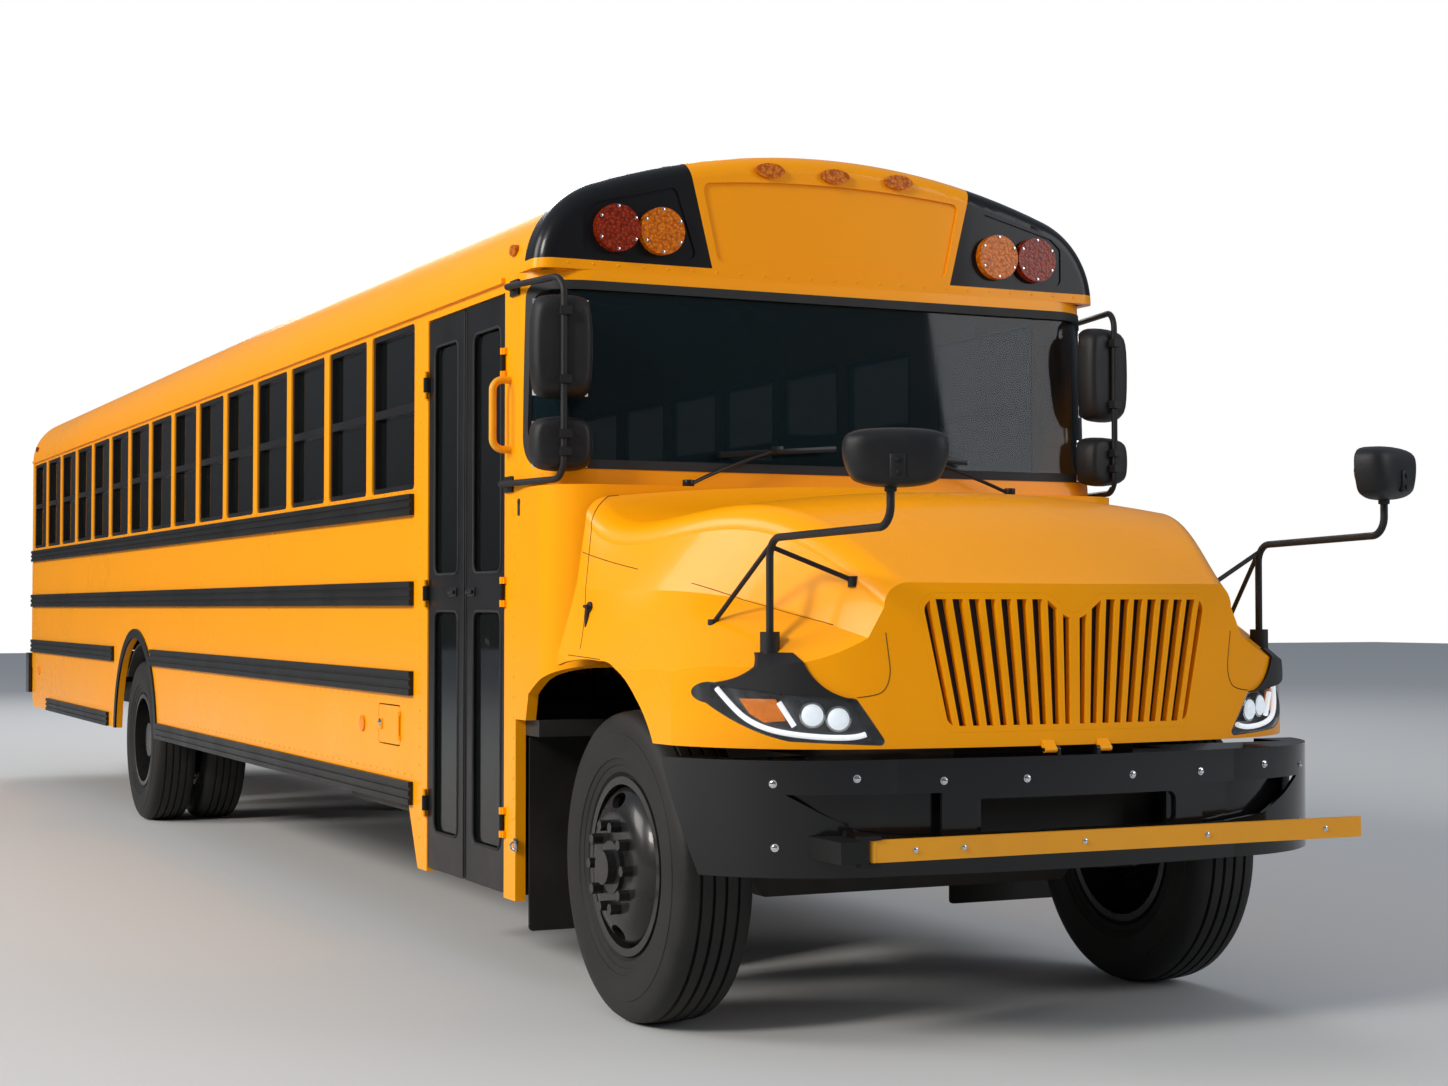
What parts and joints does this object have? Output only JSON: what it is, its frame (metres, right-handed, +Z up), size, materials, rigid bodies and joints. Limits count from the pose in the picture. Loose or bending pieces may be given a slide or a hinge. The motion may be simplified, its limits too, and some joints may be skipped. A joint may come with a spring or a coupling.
{
  "type": "school bus",
  "caption": "Long school bus with a bonnet, dual rear wheels, a folding entrance door, roof hatches, a stop sign and a crossing arm, for carrying pupils.",
  "frame": {"origin": "middle of the bus in plan, on the ground the tyres stand on", "axes": "+Y to the rear of the bus, +X to its left side, +Z up; the bus faces -Y"},
  "size_m": [2.5823, 14.5099, 3.1863],
  "materials": {
    "yellow_paint": "gloss",
    "yellow_plastic": "gloss",
    "white_plastic": "matte",
    "black_frame": "satin",
    "black_paint": "satin",
    "black_plastic": "matte",
    "black_steel": "satin",
    "bare_steel": "satin",
    "cast_iron": "rough",
    "rubber": "matte",
    "tyre": "matte",
    "glass": "clear",
    "lamp_lens": "clear",
    "amber_lens": "gloss",
    "red_lens": "gloss",
    "red_paint": "gloss",
    "floor_board": "matte",
    "seat_cover": "satin"
  },
  "bodies": {
    "body": {"roof": "yellow_paint", "roof_hatch_bays": "yellow_paint", "right_wall": "yellow_paint", "left_wall": "yellow_paint", "window_sashes": "black_frame", "windshield_frame": "yellow_paint", "windshield": "glass", "windshield_trim": "rubber", "cowl": "yellow_paint", "front_cap": "yellow_paint", "rear_wall": "yellow_paint", "window_panes": "glass", "door_header": "yellow_paint", "side_trim": "black_paint", "front_bumper": "black_paint", "rear_bumper": "black_paint", "side_mirrors": "black_plastic", "chassis_frame": "black_steel", "engine_block": "cast_iron", "front_axle": "black_steel", "rear_axle": "black_steel", "drive_shaft": "black_steel", "leaf_springs": "black_steel", "floor": "floor_board", "fuel_tank": "black_steel", "exhaust": "bare_steel", "mud_flaps": "rubber", "seats": "seat_cover", "dash": "black_plastic", "amber_lamps": "amber_lens", "red_lamps": "red_lens", "arm_brackets": "black_paint", "grab_rail": "bare_steel"},
    "hood": {"hood_shell": "yellow_paint", "grille": "yellow_plastic", "grille_screen": "black_plastic", "headlights": "lamp_lens", "cross_view_mirrors": "black_plastic"},
    "door_front": {"door_leaf_front": "black_frame", "door_glass_front": "glass"},
    "door_rear": {"door_leaf_rear": "black_frame", "door_glass_rear": "glass"},
    "emergency_door": {"rear_door": "yellow_paint", "rear_door_glass": "glass"},
    "fuel_flap": {"fuel_door": "yellow_paint"},
    "hatch_front": {"roof_hatch_front": "white_plastic"},
    "hatch_rear": {"roof_hatch_rear": "white_plastic"},
    "crossing_gate": {"crossing_arm": "yellow_plastic"},
    "stop_board": {"stop_sign": "red_paint"},
    "steering_left": {"knuckle_left": "black_steel"},
    "steering_right": {"knuckle_right": "black_steel"},
    "front_wheel_left": {"front_tyre_left": "tyre", "front_rim_left": "black_steel"},
    "front_wheel_right": {"front_tyre_right": "tyre", "front_rim_right": "black_steel"},
    "rear_wheels_left": {"rear_tyres_left": "tyre", "rear_rims_left": "black_steel"},
    "rear_wheels_right": {"rear_tyres_right": "tyre", "rear_rims_right": "black_steel"}
  },
  "joints": [
    {"name": "steer_left", "type": "hinge", "parent": "body", "child": "steering_left", "pos_m": [0.835, -5.685, 0.527], "axis": [0, 0, 1], "range_deg": [-35, 35]},
    {"name": "steer_right", "type": "hinge", "parent": "body", "child": "steering_right", "pos_m": [-0.835, -5.685, 0.527], "axis": [0, 0, 1], "range_deg": [-35, 35]},
    {"name": "front_wheel_spin_left", "type": "hinge", "parent": "steering_left", "child": "front_wheel_left", "pos_m": [1.005, -5.685, 0.527], "axis": [1, 0, 0], "continuous": true},
    {"name": "front_wheel_spin_right", "type": "hinge", "parent": "steering_right", "child": "front_wheel_right", "pos_m": [-1.005, -5.685, 0.527], "axis": [1, 0, 0], "continuous": true},
    {"name": "rear_wheel_spin_left", "type": "hinge", "parent": "body", "child": "rear_wheels_left", "pos_m": [0.886, 2.445, 0.527], "axis": [1, 0, 0], "continuous": true},
    {"name": "rear_wheel_spin_right", "type": "hinge", "parent": "body", "child": "rear_wheels_right", "pos_m": [-0.886, 2.445, 0.527], "axis": [1, 0, 0], "continuous": true},
    {"name": "entrance_leaf_front", "type": "hinge", "parent": "body", "child": "door_front", "pos_m": [-1.23, -4.762, 1.46], "axis": [0, 0, 1], "range_deg": [0, 90]},
    {"name": "entrance_leaf_rear", "type": "hinge", "parent": "body", "child": "door_rear", "pos_m": [-1.23, -3.823, 1.46], "axis": [0, 0, -1], "range_deg": [0, 90]},
    {"name": "emergency_door_swing", "type": "hinge", "parent": "body", "child": "emergency_door", "pos_m": [-0.433, 7.154, 1.8], "axis": [0, 0, 1], "range_deg": [0, 100]},
    {"name": "fuel_flap_swing", "type": "hinge", "parent": "body", "child": "fuel_flap", "pos_m": [-1.225, -3.452, 0.897], "axis": [0, 0, 1], "range_deg": [0, 100]},
    {"name": "hatch_lid_front", "type": "hinge", "parent": "body", "child": "hatch_front", "pos_m": [0, -1.5275, 3.166], "axis": [1, 0, 0], "range_deg": [0, 60]},
    {"name": "hatch_lid_rear", "type": "hinge", "parent": "body", "child": "hatch_rear", "pos_m": [0, 4.1605, 3.166], "axis": [1, 0, 0], "range_deg": [0, 60]},
    {"name": "hood_tilt", "type": "hinge", "parent": "body", "child": "hood", "pos_m": [0, -6.737, 0.953], "axis": [1, 0, 0], "range_deg": [0, 65]},
    {"name": "crossing_arm_swing", "type": "hinge", "parent": "body", "child": "crossing_gate", "pos_m": [-0.8, -6.837, 0.673], "axis": [0, 0, -1], "range_deg": [0, 90]},
    {"name": "stop_sign_swing", "type": "hinge", "parent": "body", "child": "stop_board", "pos_m": [1.265, -3.565, 1.6], "axis": [0, 0, -1], "range_deg": [0, 90]}
  ],
  "couplings": [
    {"joint": "steer_right", "follows": "steer_left", "ratio": 1},
    {"joint": "entrance_leaf_rear", "follows": "entrance_leaf_front", "ratio": 1}
  ]
}
